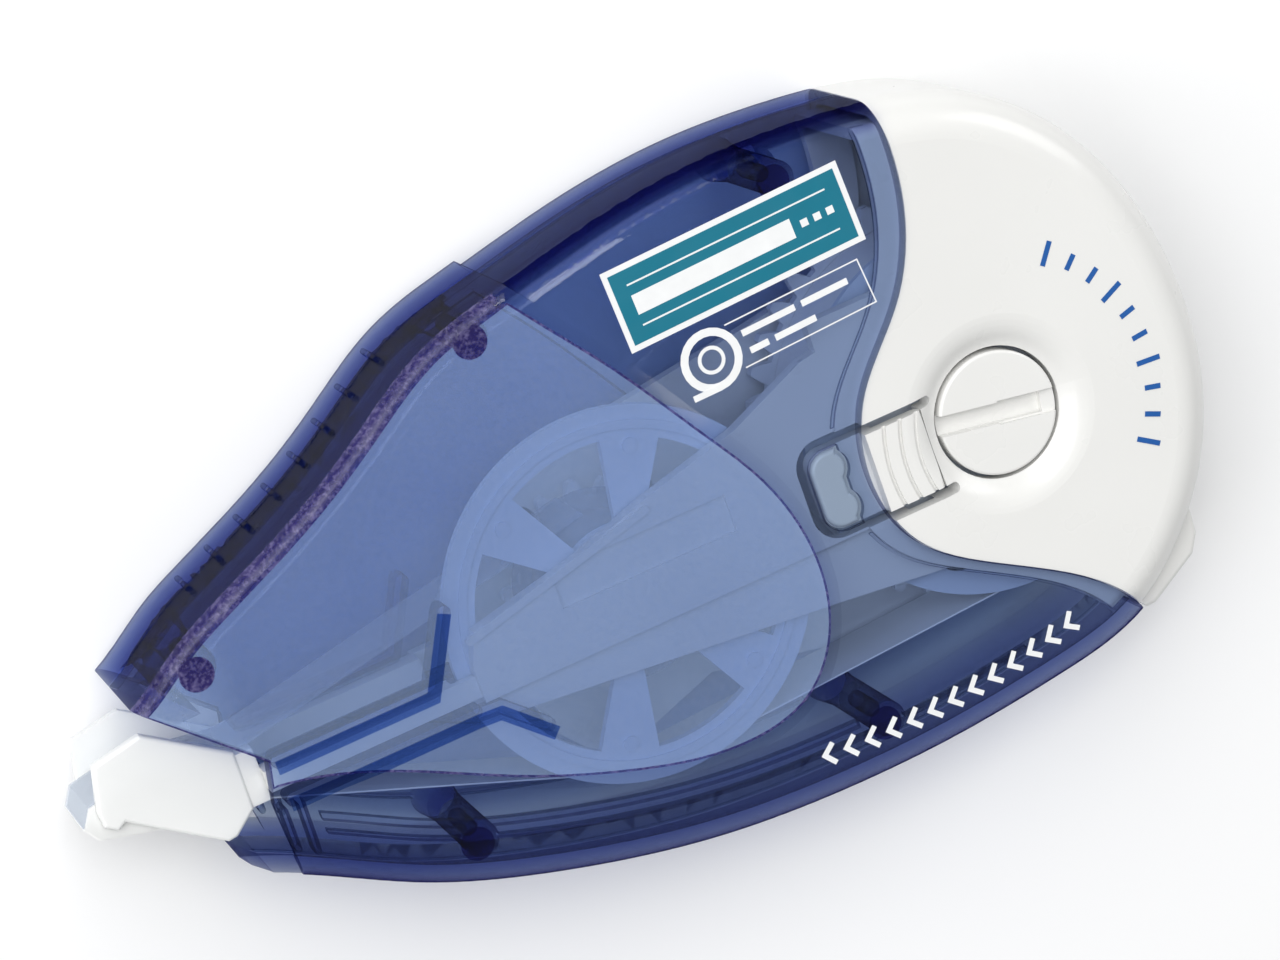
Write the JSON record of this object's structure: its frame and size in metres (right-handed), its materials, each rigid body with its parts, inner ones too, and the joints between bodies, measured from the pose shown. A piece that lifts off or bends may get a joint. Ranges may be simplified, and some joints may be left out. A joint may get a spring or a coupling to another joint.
{
  "type": "correction tape roller",
  "caption": "Refillable correction tape roller: clear two-half housing with frosted grips, and a slide-in refill with reels, gears, press latches, rewind knob and applicator tip.",
  "frame": {"origin": "centre of the bounding box in plan, on the face that the roller rests on (its far side)", "axes": "+X from the applicator tip to the rounded rear end, the way the refill slides out; +Y from the belly to the curved back; +Z out of the near face, the one with the print"},
  "size_m": [0.1142, 0.0611, 0.021],
  "materials": {
    "clear_blue": "tinted transparent polystyrene, glossy, with finely frosted grip pads",
    "white_shell": "warm white moulded plastic, soft gloss",
    "milky_tip": "milky natural polypropylene, slightly translucent",
    "tape_white": "opaque white correction film on its liner",
    "tape_liner": "bare translucent liner",
    "gear_plastic": "natural acetal",
    "clutch_plastic": "grey friction elastomer",
    "reel_plastic": "pale natural plastic",
    "frosted_skin": "finely etched skin of the grip pads, milky, lets most light through",
    "white_print": "white pad-printed ink",
    "blue_print": "blue pad-printed ink",
    "label_print": "printed label panel, satin"
  },
  "bodies": {
    "housing": {"housing_near_shell": "clear_blue", "housing_far_shell": "clear_blue"},
    "cassette": {"refill_near_frame": "white_shell", "refill_far_frame": "white_shell", "tip_carrier": "milky_tip", "tip_blade": "milky_tip", "fresh_tape_run": "tape_white", "spent_tape_run": "tape_liner"},
    "near_latch": {"near_latch": "white_shell"},
    "far_latch": {"far_latch": "white_shell"},
    "supply_reel": {"supply_gear": "gear_plastic", "clutch_ring": "clutch_plastic", "supply_core": "reel_plastic", "supply_flange": "reel_plastic", "fresh_tape_roll": "tape_white", "rewind_knob": "white_shell"},
    "takeup_reel": {"takeup_gear": "gear_plastic", "takeup_core": "reel_plastic", "takeup_reel": "reel_plastic", "spent_tape_coil": "tape_liner"},
    "idler": {"idler_gear": "gear_plastic"}
  },
  "joints": [
    {"name": "cassette_slide", "type": "slide", "parent": "housing", "child": "cassette", "axis": [1, 0, 0], "range_m": [0, 0.085]},
    {"name": "near_latch_press", "type": "hinge", "parent": "cassette", "child": "near_latch", "pos_m": [0.02705, -0.00285, 0.01945], "axis": [0, -1, 0], "range_deg": [0, 6], "stiffness_Nm_per_rad": 0.15},
    {"name": "far_latch_press", "type": "hinge", "parent": "cassette", "child": "far_latch", "pos_m": [0.02705, -0.00285, 0.00155], "axis": [0, 1, 0], "range_deg": [0, 6], "stiffness_Nm_per_rad": 0.15},
    {"name": "supply_spin", "type": "hinge", "parent": "cassette", "child": "supply_reel", "pos_m": [0.03505, -0.0025, 0.0105], "axis": [0, 0, 1], "continuous": true},
    {"name": "idler_spin", "type": "hinge", "parent": "cassette", "child": "idler", "pos_m": [0.01081, -0.00606, 0.0105], "axis": [0, 0, 1], "continuous": true},
    {"name": "takeup_spin", "type": "hinge", "parent": "cassette", "child": "takeup_reel", "pos_m": [-0.00315, -0.005, 0.0105], "axis": [0, 0, 1], "continuous": true}
  ],
  "couplings": [
    {"joint": "idler_spin", "follows": "supply_spin", "ratio": -3.4545},
    {"joint": "takeup_spin", "follows": "supply_spin", "ratio": 2.2353}
  ]
}
